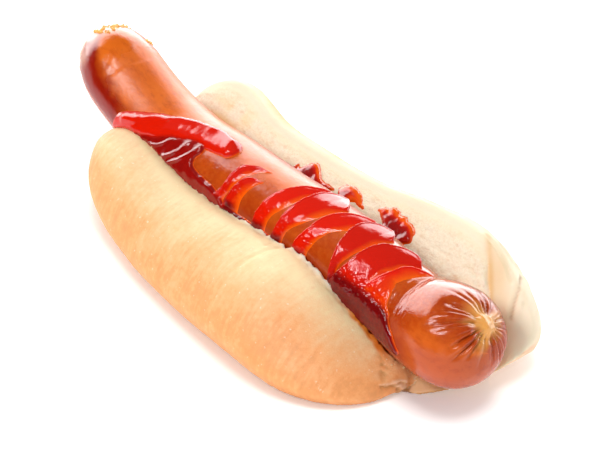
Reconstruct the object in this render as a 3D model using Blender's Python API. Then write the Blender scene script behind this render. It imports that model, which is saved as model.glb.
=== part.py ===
"""Hot dog: a soft bun slit lengthwise and opened out, a sausage lying in the slit, and ketchup
squeezed over it in a zigzag.

Metres. +X runs along the sausage to its puckered end, +Y to the half of the bun that lies
opened out, +Z up. The origin is on the table, under the middle of the whole.
"""

import math

import bmesh
import bpy
from mathutils import Vector

# --- Driving dimensions ---------------------------------------------------------------------

MILLIMETRE = 0.001
TOUCHING_GAP = 0.0003

SAUSAGE_RADIUS = 0.0125
SAUSAGE_FAR_TIP = -0.0855
SAUSAGE_NEAR_TIP = 0.0868
SAUSAGE_REST_HEIGHT = 0.0205
SAUSAGE_SIDES = 28
SAUSAGE_RINGS = 46
FAR_RISE_FROM = -0.0352
FAR_RISE_PER_SQUARE = 8.0
NEAR_SAG_FROM = 0.0198
NEAR_SAG_LENGTH = 0.042
NEAR_SAG = 0.0040
BULB_LIFT_FROM = 0.060
BULB_LIFT_LENGTH = 0.014
BULB_LIFT = 0.0015
TIP_TILT_FROM = 0.067
TIP_TILT_EASE = 0.010
TIP_TILT = 0.18
FAR_CAP_LENGTH = 0.0160
FAR_CAP_POWER = 2.4
NEAR_CAP_LENGTH = 0.0130
NEAR_CAP_POWER = 2.5
NECK_FROM_TIP = 0.033
NECK_DEPTH = 0.0006
BULB_FROM_TIP = 0.015
BULB_SWELL = 0.00135
SWELL_LENGTH = 0.0095
PUCKER_FOLDS = 7
PUCKER_REACH = 0.0070
PUCKER_FOLD_DEPTH = 0.0005
PUCKER_SINK = 0.0012

BUN_RINGS = 38
CUT_FACE_STEPS = 6
CRUST_STEPS = 20
UNDERSIDE_STEPS = 2

# Where the crust turns, as shares of a section's width and height. The first two places are
# shares of the way out from the lip to the widest place.
BROW = (0.25, 1.00)
SHOULDER = (0.70, 0.88)
BELLY = (1.00, 0.52)
TUCK = (0.97, 0.24)
FOOT = (0.84, 0.00)

FLOOR_CUTTER_SIZE = (0.30, 0.20, 0.02)


class End:
    """How one end of a half rounds off: where its tip is, and over what length each of the
    section's four sides draws in to that tip. A higher power makes a blunter end."""

    def __init__(self, tip_x, tip_out, tip_up, outer, inner, top, bottom):
        self.tip_x = tip_x
        self.tip_out = tip_out
        self.tip_up = tip_up
        self.outer = outer
        self.inner = inner
        self.top = top
        self.bottom = bottom

    def drawn_in(self, x, side, full, tip):
        """The place of one side at x, between its full place and the tip's."""
        length, power = side
        return tip + (full - tip) * round_off(1.0 - abs(x - self.tip_x) / length, power)


class Half:
    """One half of the bun.

    `side` is -1 for the half that stands up against the sausage and 1 for the one laid open.
    `overlap` is how far its inner side runs past the middle, into the other half.
    The lip is where the cut face meets the crust, as shares of the section's width and height,
    and slot_floor is how high the cut face starts, as a share of the height.
    A lobe is (x of its middle, spread along x, growth in width, growth in height).
    """

    def __init__(self, side, far, near, width, height, bottom, overlap, lip, slot_floor, lobes):
        self.side = side
        self.far = far
        self.near = near
        self.width = width
        self.height = height
        self.bottom = bottom
        self.overlap = overlap
        self.lip = lip
        self.slot_floor = slot_floor
        self.lobes = lobes

    def sides_at(self, x):
        """The section's inner, outer, lower and upper limits at x."""
        width = self.width
        height = self.height
        for middle, spread, wider, taller in self.lobes:
            width += wider * bell(x, middle, spread)
            height += taller * bell(x, middle, spread)
        end = self.far if abs(x - self.far.tip_x) < abs(x - self.near.tip_x) else self.near
        return (
            end.drawn_in(x, end.inner, -self.overlap, end.tip_out),
            end.drawn_in(x, end.outer, width, end.tip_out),
            end.drawn_in(x, end.bottom, self.bottom, end.tip_up),
            end.drawn_in(x, end.top, height, end.tip_up),
        )


STANDING_HALF = Half(
    side=-1,
    far=End(-0.0652, 0.0140, 0.0160, (0.050, 1.8), (0.020, 2.2), (0.020, 2.2), (0.030, 2.0)),
    near=End(0.0665, 0.0080, 0.0020, (0.036, 2.5), (0.014, 2.5), (0.040, 1.5), (0.030, 2.0)),
    width=0.0380,
    height=0.0222,
    bottom=-0.0030,
    overlap=0.0030,
    lip=(0.38, 0.97),
    slot_floor=0.32,
    lobes=(
        (-0.0555, 0.022, 0.0000, 0.0043),
        (-0.0340, 0.022, -0.0024, 0.0000),
        (0.0300, 0.024, 0.0020, 0.0038),
    ),
)
OPEN_HALF = Half(
    side=1,
    far=End(-0.0680, 0.0200, 0.0120, (0.020, 2.4), (0.016, 2.2), (0.018, 2.2), (0.020, 2.0)),
    near=End(0.0836, 0.0180, 0.0110, (0.042, 2.6), (0.030, 1.8), (0.040, 2.2), (0.034, 1.8)),
    width=0.0330,
    height=0.0245,
    bottom=-0.0036,
    overlap=0.0140,
    lip=(0.785, 0.95),
    slot_floor=0.03,
    lobes=((-0.0505, 0.016, 0.0045, 0.0030), (0.0475, 0.026, 0.0064, 0.0022)),
)

# Each run of ketchup on the sausage: its width, how far it stands proud, and its route as
# (x in millimetres, degrees round from the top, less than 0 towards the standing half).
KETCHUP_SIDES = 10
KETCHUP_STATIONS = 12
KETCHUP_BLUNTNESS = 3.0
LIP_GAP = 0.0004
KETCHUP_RUNS = (
    ("first_stroke", 0.0090, 0.0030, ((-60, -84), (-46, -44), (-37, -26), (-26, -13), (-14, -11))),
    ("first_pool", 0.0120, 0.0020, ((-47, -56), (-33, -50), (-21, -56))),
    ("gutter", 0.0060, 0.0016, ((-40, -58), (-15, -57), (9, -56), (31, -57), (47, -64))),
    ("hook_1", 0.0045, 0.0016, ((-9, -62), (-6, -45), (-6, -25), (-3, -12), (2, -6))),
    ("hook_2", 0.0035, 0.0013, ((1, -62), (1, -48), (2, -35), (5, -26))),
    ("hook_3", 0.0045, 0.0016, ((9, -62), (10, -40), (12, -18), (16, 0), (21, 12))),
    ("hook_4", 0.0050, 0.0017, ((18, -62), (17, -35), (19, -12), (22, 5), (28, 14))),
    ("hook_5", 0.0050, 0.0017, ((26, -62), (27, -33), (30, -10), (34, 7), (41, 12))),
    ("hook_6", 0.0060, 0.0020, ((39, -62), (39, -40), (38, -18), (40, 2), (44, 12))),
    ("hook_7", 0.0070, 0.0022, ((44, -68), (47, -42), (48, -12), (51, 6), (56, 7))),
    ("hook_8", 0.0042, 0.0014, ((53, -62), (54, -38), (57, -14), (60, 1), (62, 5))),
    ("last_pool", 0.0100, 0.0018, ((41, -64), (49, -66), (56, -68), (62, -78), (64, -92))),
)


# --- Helpers --------------------------------------------------------------------------------

def clear_scene():
    for old in list(bpy.data.objects):
        bpy.data.objects.remove(old, do_unlink=True)


def make_material(name, color, roughness):
    material = bpy.data.materials.new(name)
    material.use_nodes = True
    shader = material.node_tree.nodes["Principled BSDF"]
    shader.inputs["Base Color"].default_value = (*color, 1.0)
    shader.inputs["Roughness"].default_value = roughness
    shader.inputs["Metallic"].default_value = 0.0
    return material


def closed_loft(name, rings, first_pole, last_pole):
    """A mesh object through rings of equal count, closed at each end by a fan to a pole."""
    mesh_builder = bmesh.new()
    loops = [[mesh_builder.verts.new(point) for point in ring] for ring in rings]
    count = len(loops[0])
    for ring, following in zip(loops, loops[1:]):
        for i in range(count):
            j = (i + 1) % count
            mesh_builder.faces.new((ring[i], ring[j], following[j], following[i]))
    for pole, ring in ((first_pole, loops[0]), (last_pole, loops[-1])):
        centre = mesh_builder.verts.new(pole)
        for i in range(count):
            mesh_builder.faces.new((centre, ring[i], ring[(i + 1) % count]))
    bmesh.ops.recalc_face_normals(mesh_builder, faces=mesh_builder.faces)
    mesh = bpy.data.meshes.new(name)
    mesh_builder.to_mesh(mesh)
    mesh_builder.free()
    mesh.shade_smooth()
    made = bpy.data.objects.new(name, mesh)
    bpy.context.scene.collection.objects.link(made)
    return made


def as_cutter(tool):
    tool.hide_render = True
    tool.display_type = "WIRE"
    return tool


def add_boolean(target, operation, tool, overlapping=False):
    modifier = target.modifiers.new(f"{operation.lower()}_{tool.name}", "BOOLEAN")
    modifier.operation = operation
    modifier.object = tool
    modifier.solver = "EXACT"
    modifier.use_self = overlapping


def bell(x, middle, spread):
    return math.exp(-(((x - middle) / spread) ** 2))


def smooth_step(share):
    """0 up to share 0, 1 from share 1 on, and an S-shaped ramp between."""
    t = min(1.0, max(0.0, share))
    return t * t * (3.0 - 2.0 * t)


def round_off(share, power):
    """1 where an end's rounding starts, at share 0, and 0 at the tip, at share 1."""
    return (1.0 - min(1.0, max(0.0, share)) ** power) ** (1.0 / power)


def eased_stations(first, last, count):
    """Places from first to last, both left out, that crowd together towards the two ends."""
    middle = (first + last) / 2
    reach = (last - first) / 2
    return [middle - reach * math.cos(math.pi * (i + 0.5) / count) for i in range(count)]


def smooth_run(points, steps):
    """`steps` places along a Catmull-Rom curve through points, the last point left out."""
    padded = [2 * points[0] - points[1], *points, 2 * points[-1] - points[-2]]
    spans = len(points) - 1
    run = []
    for i in range(steps):
        place = i * spans / steps
        span = min(int(place), spans - 1)
        t = place - span
        before, start, end, after = padded[span:span + 4]
        run.append(0.5 * (
            2 * start
            + (end - before) * t
            + (2 * before - 5 * start + 4 * end - after) * t ** 2
            + (3 * start - before - 3 * end + after) * t ** 3
        ))
    return run


# --- Sausage --------------------------------------------------------------------------------

def sausage_axis_height(x):
    height = SAUSAGE_REST_HEIGHT
    height += FAR_RISE_PER_SQUARE * max(0.0, FAR_RISE_FROM - x) ** 2
    height -= NEAR_SAG * min(1.0, max(0.0, (x - NEAR_SAG_FROM) / NEAR_SAG_LENGTH)) ** 2
    height += BULB_LIFT * smooth_step((x - BULB_LIFT_FROM) / BULB_LIFT_LENGTH)
    eased = min(TIP_TILT_EASE, max(0.0, x - TIP_TILT_FROM))
    past_ease = max(0.0, x - TIP_TILT_FROM - TIP_TILT_EASE)
    height += TIP_TILT * (past_ease + eased ** 2 / (2 * TIP_TILT_EASE))
    return height


def sausage_frame(x):
    """The axis point at x, and the axis direction there, which lies in the XZ plane."""
    step = 0.0005
    centre = Vector((x, 0.0, sausage_axis_height(x)))
    ahead = Vector((x + step, 0.0, sausage_axis_height(x + step)))
    return centre, (ahead - centre).normalized()


def sausage_point(x, angle, radius):
    """The point at `radius` off the axis. The angle is 0 on top and grows towards +Y."""
    centre, along = sausage_frame(x)
    upward = Vector((-along.z, 0.0, along.x))
    return centre + radius * (math.sin(angle) * Vector((0.0, 1.0, 0.0)) + math.cos(angle) * upward)


def sausage_radius(x):
    from_far = x - SAUSAGE_FAR_TIP
    from_near = SAUSAGE_NEAR_TIP - x
    full = SAUSAGE_RADIUS
    full -= NECK_DEPTH * bell(from_near, NECK_FROM_TIP, SWELL_LENGTH)
    full += BULB_SWELL * bell(from_near, BULB_FROM_TIP, SWELL_LENGTH)
    full *= round_off(1.0 - from_far / FAR_CAP_LENGTH, FAR_CAP_POWER)
    full *= round_off(1.0 - from_near / NEAR_CAP_LENGTH, NEAR_CAP_POWER)
    return full


def pucker_fold(x, angle):
    """How deep the folds that gather the casing at the near tip press in at this place."""
    from_pole = sausage_radius(x)
    if x < SAUSAGE_NEAR_TIP - NEAR_CAP_LENGTH or from_pole > PUCKER_REACH:
        return 0.0
    strength = math.sin(math.pi * from_pole / PUCKER_REACH)
    return PUCKER_FOLD_DEPTH * strength * (1.0 + math.cos(PUCKER_FOLDS * angle))


def make_sausage(name, grown_by=0.0):
    rings = []
    for x in eased_stations(SAUSAGE_FAR_TIP, SAUSAGE_NEAR_TIP, SAUSAGE_RINGS):
        _, along = sausage_frame(x)
        ring = []
        for i in range(SAUSAGE_SIDES):
            angle = 2 * math.pi * i / SAUSAGE_SIDES
            point = sausage_point(x, angle, sausage_radius(x) + grown_by)
            ring.append(point - pucker_fold(x, angle) * along)
        rings.append(ring)
    far_centre, far_along = sausage_frame(SAUSAGE_FAR_TIP)
    near_centre, near_along = sausage_frame(SAUSAGE_NEAR_TIP)
    return closed_loft(
        name,
        rings,
        far_centre - grown_by * far_along,
        near_centre + (grown_by - PUCKER_SINK) * near_along,
    )


# --- Bun ------------------------------------------------------------------------------------

def half_section(half, x):
    """The half's outline at x as (out, up) pairs, from the slot's floor up the cut face, over
    the lip, down the crust and back underneath. Out is away from the middle of the bun."""
    inner, outer, low, high = half.sides_at(x)
    slot_floor = Vector((0.0, half.slot_floor))
    lip = Vector(half.lip)
    past_lip = [Vector((lip.x + out * (1.0 - lip.x), up)) for out, up in (BROW, SHOULDER)]
    foot = Vector(FOOT)
    crust = [lip, *past_lip, Vector(BELLY), Vector(TUCK), foot]
    underside = [foot, Vector((0.0, 0.0))]
    outline = smooth_run([slot_floor, lip], CUT_FACE_STEPS)
    outline += smooth_run(crust, CRUST_STEPS)
    outline += smooth_run(underside, UNDERSIDE_STEPS)
    outline.append(underside[-1])
    return [(inner + p.x * (outer - inner), low + p.y * (high - low)) for p in outline]


def make_half(name, half, lifted_by=0.0):
    rings = []
    for x in eased_stations(half.far.tip_x, half.near.tip_x, BUN_RINGS):
        section = half_section(half, x)
        rings.append([Vector((x, half.side * out, up + lifted_by)) for out, up in section])
    tips = [Vector((e.tip_x, half.side * e.tip_out, e.tip_up)) for e in (half.far, half.near)]
    return closed_loft(name, rings, *tips)


def make_floor_cutter():
    """A box whose top is the plane that the bun rests on."""
    length, width, depth = FLOOR_CUTTER_SIZE
    box = bmesh.new()
    bmesh.ops.create_cube(box, size=1.0)
    bmesh.ops.scale(box, vec=(length, width, depth), verts=box.verts)
    bmesh.ops.translate(box, vec=(0.0, 0.0, -depth / 2), verts=box.verts)
    mesh = bpy.data.meshes.new("floor_cutter")
    box.to_mesh(mesh)
    box.free()
    made = bpy.data.objects.new("floor_cutter", mesh)
    bpy.context.scene.collection.objects.link(made)
    return as_cutter(made)


def make_bun():
    bun = make_half("bun", STANDING_HALF)
    add_boolean(bun, "UNION", as_cutter(make_half("open_half", OPEN_HALF)))
    add_boolean(bun, "DIFFERENCE", make_floor_cutter())
    sausage_room = as_cutter(make_sausage("sausage_room", TOUCHING_GAP))
    add_boolean(bun, "DIFFERENCE", sausage_room, overlapping=True)
    return bun


# --- Ketchup --------------------------------------------------------------------------------

def on_unrolled_sausage(place, height):
    """The point `height` above the casing, where place is (x, arc length round from the top)."""
    radius = sausage_radius(place.x)
    return sausage_point(place.x, place.y / SAUSAGE_RADIUS, radius + height)


def make_ketchup_run(name, width, rise, route):
    """A bead wrapped over the sausage along its route, half sunk in it, with rounded ends."""
    turns = [Vector((x * MILLIMETRE, SAUSAGE_RADIUS * math.radians(angle))) for x, angle in route]
    places = smooth_run(turns, KETCHUP_STATIONS) + [turns[-1]]
    rings = []
    for i in range(1, KETCHUP_STATIONS):
        along = (places[i + 1] - places[i - 1]).normalized()
        across = Vector((-along.y, along.x))
        fullness = round_off(abs(2 * i / KETCHUP_STATIONS - 1), KETCHUP_BLUNTNESS)
        ring = []
        for k in range(KETCHUP_SIDES):
            turn = 2 * math.pi * k / KETCHUP_SIDES
            place = places[i] + fullness * math.cos(turn) * width / 2 * across
            ring.append(on_unrolled_sausage(place, fullness * math.sin(turn) * rise))
        rings.append(ring)
    first_pole = on_unrolled_sausage(places[0], 0.0)
    return closed_loft(name, rings, first_pole, on_unrolled_sausage(places[-1], 0.0))


def make_ketchup():
    first, *others = KETCHUP_RUNS
    ketchup = make_ketchup_run(*first)
    ketchup.name = "ketchup"
    for run in others:
        add_boolean(ketchup, "UNION", as_cutter(make_ketchup_run(*run)))
    add_boolean(ketchup, "DIFFERENCE", bpy.data.objects["sausage_room"], overlapping=True)
    lip_room = as_cutter(make_half("lip_room", STANDING_HALF, lifted_by=LIP_GAP))
    add_boolean(ketchup, "DIFFERENCE", lip_room, overlapping=True)
    return ketchup


# --- Whole ----------------------------------------------------------------------------------

def main():
    clear_scene()
    sausage = make_sausage("sausage")
    sausage.data.materials.append(make_material("sausage_skin", (0.50, 0.10, 0.02), 0.28))
    bun = make_bun()
    bun.data.materials.append(make_material("bun_crust", (0.80, 0.50, 0.22), 0.65))
    ketchup = make_ketchup()
    ketchup.data.materials.append(make_material("ketchup_sauce", (0.60, 0.02, 0.01), 0.15))


main()
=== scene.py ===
import itertools
import math
from collections import namedtuple

import bmesh
import bpy
import numpy as np
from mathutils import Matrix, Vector, kdtree
from mathutils.bvhtree import BVHTree


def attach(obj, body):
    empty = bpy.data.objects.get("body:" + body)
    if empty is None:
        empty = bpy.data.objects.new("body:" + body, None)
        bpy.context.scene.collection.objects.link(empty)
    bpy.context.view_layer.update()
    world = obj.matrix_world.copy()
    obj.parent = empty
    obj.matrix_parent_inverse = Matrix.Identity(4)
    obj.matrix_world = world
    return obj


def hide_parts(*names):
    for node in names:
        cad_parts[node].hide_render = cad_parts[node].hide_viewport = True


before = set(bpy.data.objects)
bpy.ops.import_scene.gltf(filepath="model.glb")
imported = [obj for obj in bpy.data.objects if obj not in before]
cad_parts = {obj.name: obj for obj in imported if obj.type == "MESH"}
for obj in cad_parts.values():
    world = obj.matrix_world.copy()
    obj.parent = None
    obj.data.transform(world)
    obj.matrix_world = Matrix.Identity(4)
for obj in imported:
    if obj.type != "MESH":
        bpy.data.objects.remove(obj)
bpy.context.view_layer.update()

MM = 0.001
DOWN = Vector((0.0, 0.0, -1.0))

# --- Shapes shared with the solids, in metres ---

SAUSAGE_RADIUS = 0.0125
SAUSAGE_FAR_TIP = -0.0855
SAUSAGE_NEAR_TIP = 0.0868
SAUSAGE_REST_HEIGHT = 0.0205
FAR_RISE_FROM = -0.0352
FAR_RISE_PER_SQUARE = 8
NEAR_SAG_FROM = 0.0198
NEAR_SAG_LENGTH = 0.042
NEAR_SAG = 0.004
SAG_SHIFTS = tuple(0.001 * k for k in range(-4, 5))
BULB_LIFT_FROM = 0.06
BULB_LIFT_TO = 0.074
BULB_LIFT = 0.0015
TIP_TILT_FROM = 0.067
TIP_TILT_EASE = 0.01
TIP_TILT = 0.18
FAR_CAP_LENGTH = 0.016
FAR_CAP_POWER = 2.4
NEAR_CAP_LENGTH = 0.013
NEAR_CAP_POWER = 2.5
NECK_FROM_TIP = 0.033
NECK_DEPTH = 0.0006
BULB_FROM_TIP = 0.015
BULB_SWELL = 0.00135
SWELL_LENGTH = 0.0095


# --- Number helpers ---

def bell(x, middle, spread):
    return np.exp(-(((x - middle) / spread) ** 2))


def round_off(share, power):
    return (1 - np.clip(share, 0, 1) ** power) ** (1 / power)


def rising(value, low, high):
    """A smooth step from 0 at `low` to 1 at `high`."""
    share = np.clip((value - low) / (high - low), 0, 1)
    return share * share * (3 - 2 * share)


def falling(value, low, high):
    """A smooth step from 1 at `low` to 0 at `high`."""
    return 1 - rising(value, low, high)


def between(value, start, full, last, end):
    """Rises from `start` to `full`, stays at 1, and falls from `last` to `end`."""
    return rising(value, start, full) * falling(value, last, end)


def rounded_edge(away, reach):
    """A quarter round, from 0 at an edge to 1 at `reach` from it."""
    return np.sqrt(1 - (1 - np.clip(away / reach, 0, 1)) ** 2)


def bumps(points, size, seed, stretch=(1, 1, 1)):
    """Smooth noise from -1 to 1 at each point, with bumps about `size` across, or longer along
    an axis whose stretch is under 1."""
    scaled = np.asarray(points) * stretch / size + 13.7 * seed
    cell = np.floor(scaled).astype(np.int64)
    local = scaled - cell
    local = local * local * (3 - 2 * local)
    total = np.zeros(len(scaled))
    for corner in itertools.product((0, 1), repeat=3):
        place = cell + corner
        mixed = place[:, 0] * 73856093 ^ place[:, 1] * 19349663 ^ place[:, 2] * 83492791
        mixed = (mixed + seed * 7919) & 0xFFFFFFFF
        mixed = (mixed ^ (mixed >> 13)) * 1274126177 & 0xFFFFFFFF
        mixed = mixed ^ (mixed >> 16)
        value = (mixed & 0xFFFF) / 32767.5 - 1
        weight = np.prod(np.where(corner, local, 1 - local), axis=1)
        total += weight * value
    return total


def layered_bumps(points, size, seed, layers, stretch=(1, 1, 1)):
    """Bumps with finer and lower ones on them, each layer half the size of the last."""
    scales = [2 ** k for k in range(layers)]
    return sum(bumps(points, size / scale, seed + k, stretch) / scale
               for k, scale in enumerate(scales))


def smooth_curve(points, steps):
    """`steps` + 1 places along a Catmull-Rom curve through the points."""
    points = np.asarray(points, float)
    padded = np.vstack([2 * points[0] - points[1], points, 2 * points[-1] - points[-2]])
    spans = len(points) - 1
    place = np.linspace(0, spans, steps + 1)
    span = np.minimum(place.astype(int), spans - 1)
    t = (place - span)[:, None]
    before, start, end, after = (padded[span + k] for k in range(4))
    return 0.5 * (
        2 * start
        + (end - before) * t
        + (2 * before - 5 * start + 4 * end - after) * t ** 2
        + (3 * start - before - 3 * end + after) * t ** 3
    )


def nearest_on_line(points, line):
    """Distance from each point to a polyline, and how far along the line that is, 0 to 1."""
    best = np.full(len(points), np.inf)
    share = np.zeros(len(points))
    for k in range(len(line) - 1):
        start, run = line[k], line[k + 1] - line[k]
        t = np.clip(((points - start) @ run) / (run @ run + 1e-12), 0, 1)
        distance = np.linalg.norm(points - start - t[:, None] * run, axis=1)
        closer = distance < best
        best[closer] = distance[closer]
        share[closer] = (k + t[closer]) / (len(line) - 1)
    return best, share


def from_line(points, line):
    return nearest_on_line(points, line)[0]


def inside_outline(points, outline):
    inside = np.zeros(len(points), bool)
    for a, b in zip(outline, np.roll(outline, -1, axis=0)):
        spans = (a[1] > points[:, 1]) != (b[1] > points[:, 1])
        climb = b[1] - a[1] if b[1] != a[1] else 1e-9
        crossing = a[0] + (points[:, 1] - a[1]) / climb * (b[0] - a[0])
        inside ^= spans & (points[:, 0] < crossing)
    return inside


def smoothed_grid(values, rounds):
    """A grid of values, each but those at its border evened out with the four beside it."""
    values = values.copy()
    for _ in range(rounds):
        values[1:-1, 1:-1] = 0.2 * (
            values[1:-1, 1:-1] + values[2:, 1:-1] + values[:-2, 1:-1]
            + values[1:-1, 2:] + values[1:-1, :-2]
        )
    return values


# --- Mesh helpers ---

def mesh_object(name, points, faces):
    mesh = bpy.data.meshes.new(name)
    mesh.from_pydata([tuple(p) for p in points], [], [tuple(f) for f in faces])
    mesh.update()
    mesh.shade_smooth()
    made = bpy.data.objects.new(name, mesh)
    bpy.context.scene.collection.objects.link(made)
    return made


def ring_places(far, near, rings):
    """Where rings stand from end to end, closer together towards the ends."""
    turn = np.pi * (np.arange(rings) + 0.5) / rings
    return (near + far) / 2 - (near - far) / 2 * np.cos(turn)


def closed_grid_faces(rings, around):
    """Faces for rings of points in order, each end closed by a fan to a pole put last."""
    ring = np.arange(rings - 1)[:, None] * around
    step = np.arange(around)[None, :]
    following = (step + 1) % around
    corners = [ring + step, ring + following, ring + around + following, ring + around + step]
    faces = [tuple(quad) for quad in np.stack(corners, axis=-1).reshape(-1, 4).tolist()]
    first, last = rings * around, rings * around + 1
    end = (rings - 1) * around
    for i in range(around):
        j = (i + 1) % around
        faces.append((first, j, i))
        faces.append((last, end + i, end + j))
    return faces


def read(items, name, width=3):
    found = np.empty(len(items) * width, np.float32)
    items.foreach_get(name, found)
    return found.reshape(-1, width).astype(float)


def points_of(piece):
    return read(piece.data.vertices, "co")


def normals_of(piece):
    return read(piece.data.vertex_normals, "vector")


def values_of(piece, name):
    return read(piece.data.attributes[name].data, "value", 1)[:, 0]


def set_points(piece, points):
    piece.data.vertices.foreach_set("co", np.asarray(points, np.float32).ravel())
    piece.data.update()


def set_values(piece, name, values):
    layer = piece.data.attributes.new(name, "FLOAT", "POINT")
    layer.data.foreach_set("value", np.asarray(values, np.float32))


def paint(piece, **shares):
    """Gives the vertices values from 0 to 1 that the piece's material reads by name."""
    for name, values in shares.items():
        set_values(piece, name, np.clip(values, 0, 1))


def face_outward(piece):
    tidy = bmesh.new()
    tidy.from_mesh(piece.data)
    bmesh.ops.recalc_face_normals(tidy, faces=tidy.faces)
    tidy.to_mesh(piece.data)
    tidy.free()


def voxel_remesh(piece, size):
    modifier = piece.modifiers.new("remesh", "REMESH")
    modifier.mode = "VOXEL"
    modifier.voxel_size = size
    modifier.use_smooth_shade = True
    graph = bpy.context.evaluated_depsgraph_get()
    made = bpy.data.meshes.new_from_object(piece.evaluated_get(graph))
    piece.modifiers.clear()
    piece.data = made
    made.shade_smooth()


def neighbours_smoothed(piece, values, rounds):
    """Values at the vertices, each evened out with those joined to it."""
    edges = np.empty(len(piece.data.edges) * 2, np.int64)
    piece.data.edges.foreach_get("vertices", edges)
    a, b = edges.reshape(-1, 2).T
    count = len(values)
    degree = np.maximum(np.bincount(a, minlength=count) + np.bincount(b, minlength=count), 1)
    for _ in range(rounds):
        total = np.bincount(a, values[b], count) + np.bincount(b, values[a], count)
        values = 0.5 * values + 0.5 * total / degree
    return values


def surface_finder(piece):
    faces = [tuple(face.vertices) for face in piece.data.polygons]
    return BVHTree.FromPolygons([v.co for v in piece.data.vertices], faces)


def straight_below(tree, x, y, z):
    """The place on the surface straight below, or None."""
    return tree.ray_cast(Vector((x, y, z)), DOWN)[0]


# --- Sausage surface ---

def sag_at(x):
    """The sag of the near end, averaged over a few millimetres so that it ends softly."""
    total = 0
    for shift in SAG_SHIFTS:
        share = np.clip((x + shift - NEAR_SAG_FROM) / NEAR_SAG_LENGTH, 0, 1)
        total = total + share ** 2
    return NEAR_SAG * total / len(SAG_SHIFTS)


def sausage_axis_height(x):
    height = SAUSAGE_REST_HEIGHT + FAR_RISE_PER_SQUARE * np.maximum(0, FAR_RISE_FROM - x) ** 2
    height = height - sag_at(x) + BULB_LIFT * rising(x, BULB_LIFT_FROM, BULB_LIFT_TO)
    eased = np.clip(x - TIP_TILT_FROM, 0, TIP_TILT_EASE)
    straight = np.maximum(0, x - TIP_TILT_FROM - TIP_TILT_EASE)
    return height + TIP_TILT * (straight + eased ** 2 / (2 * TIP_TILT_EASE))


def sausage_axis(x):
    """Axis points at x, and the direction up from the axis there."""
    x = np.asarray(x, float)
    step = 0.0005
    height = sausage_axis_height(x)
    slope = (sausage_axis_height(x + step) - height) / step
    length = np.sqrt(1 + slope ** 2)
    zero = np.zeros_like(x)
    centre = np.stack([x, zero, height], axis=-1)
    return centre, np.stack([-slope / length, zero, 1 / length], axis=-1)


def sausage_radius(x):
    from_far = x - SAUSAGE_FAR_TIP
    from_near = SAUSAGE_NEAR_TIP - x
    full = SAUSAGE_RADIUS - NECK_DEPTH * bell(from_near, NECK_FROM_TIP, SWELL_LENGTH)
    full = full + BULB_SWELL * bell(from_near, BULB_FROM_TIP, SWELL_LENGTH)
    full = full * round_off(1 - from_far / FAR_CAP_LENGTH, FAR_CAP_POWER)
    return full * round_off(1 - from_near / NEAR_CAP_LENGTH, NEAR_CAP_POWER)


def outward(x, angle):
    """Directions out from the axis at x. The angle is 0 on top and grows towards +Y."""
    _, upward = sausage_axis(x)
    sideways = np.array([0, 1, 0])
    return np.sin(angle)[..., None] * sideways + np.cos(angle)[..., None] * upward


def sausage_points(x, angle, radius):
    """Points `radius` off the axis."""
    centre, _ = sausage_axis(x)
    return centre + np.asarray(radius)[..., None] * outward(x, angle)


def off_axis(points):
    """How far each point lies off the axis of the sausage, as an offset and its length."""
    centre, _ = sausage_axis(np.clip(points[:, 0], SAUSAGE_FAR_TIP, SAUSAGE_NEAR_TIP))
    offset = (points - centre) * [0, 1, 1]
    return offset, np.linalg.norm(offset, axis=1)


def kept_off_sausage(points, clearance):
    """The points with those inside the sausage moved out to its surface."""
    offset, distance = off_axis(points)
    least = sausage_radius(points[:, 0]) + clearance
    inside = (distance < least) & (distance > 1e-6) & (points[:, 0] < SAUSAGE_NEAR_TIP)
    moved = points.copy()
    moved[inside] += offset[inside] * (least[inside] / distance[inside] - 1)[:, None]
    return moved


SAUSAGE_RINGS = 440
SAUSAGE_SIDES = 216
FAR_FOLD_AT = -0.0685
FAR_FOLD_DROP = 0.00038
FLAT_SPOT_AT = (np.array(-0.0712), np.array(np.radians(-44)))
FLAT_SPOT_FACING = np.array([0.343, -0.631, 0.695])
FLAT_SPOT_EDGE = (1.1, 1.7)
FLAT_SPOT_DEPTH = 0.00006
PUCKER_AXIS = np.array(Vector((0.7, 0.17, 0.69)).normalized())
PUCKER_CENTRE = (0.0745, 0, 0.018)
PUCKER_FROM = 55

# How far things stand out from the skin or into it, in millimetres.
SPOKE_DEPTH = 0.95
HAIRLINE_DEPTH = 0.36
DIMPLE_DEPTH = 0.7
NUB_HEIGHT = 0.3
KNOT_HEIGHT = 0.3
FAR_TIP_ROUGHNESS = 0.35
NECK_GATHER_DEPTH = 0.14
SKIN_GRAIN = 0.02


def skin_radius(x, angle):
    """Radius of the skin: the smooth sausage with lumps and the fold near its far end."""
    radius = sausage_radius(x)
    place = np.stack([x, radius * np.sin(angle), radius * np.cos(angle)], axis=-1)

    def noise(size, seed, layers=1):
        return layered_bumps(place.reshape(-1, 3), size, seed, layers).reshape(radius.shape)

    degrees = np.degrees((angle + np.pi) % (2 * np.pi) - np.pi)
    fold_at = FAR_FOLD_AT + 0.0012 * np.sin(angle * 2) + 0.0009 * noise(0.004, 5)
    fold = between(fold_at - x, -0.0002, 0.0014, 0.003, 0.0105)
    fold = fold * between(degrees, -62, -40, 6, 34) * (0.75 + 0.5 * noise(0.0032, 6))
    lumps = 0.00022 * noise(0.017, 3, 2) + 0.00005 * noise(0.0045, 7)
    return radius + lumps * rising(radius, 0, 0.008) - FAR_FOLD_DROP * fold


def pucker_reading(points):
    """How far points are from the middle of the near end's pucker in millimetres, and the way
    round it."""
    offset = points - PUCKER_CENTRE
    side = np.cross(PUCKER_AXIS, [0, 1, 0])
    side /= np.linalg.norm(side)
    sideways, upward = offset @ side, offset @ np.cross(PUCKER_AXIS, side)
    away = np.arctan2(np.hypot(sideways, upward), offset @ PUCKER_AXIS)
    return away * SAUSAGE_RADIUS / MM, np.arctan2(upward, sideways)


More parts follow.
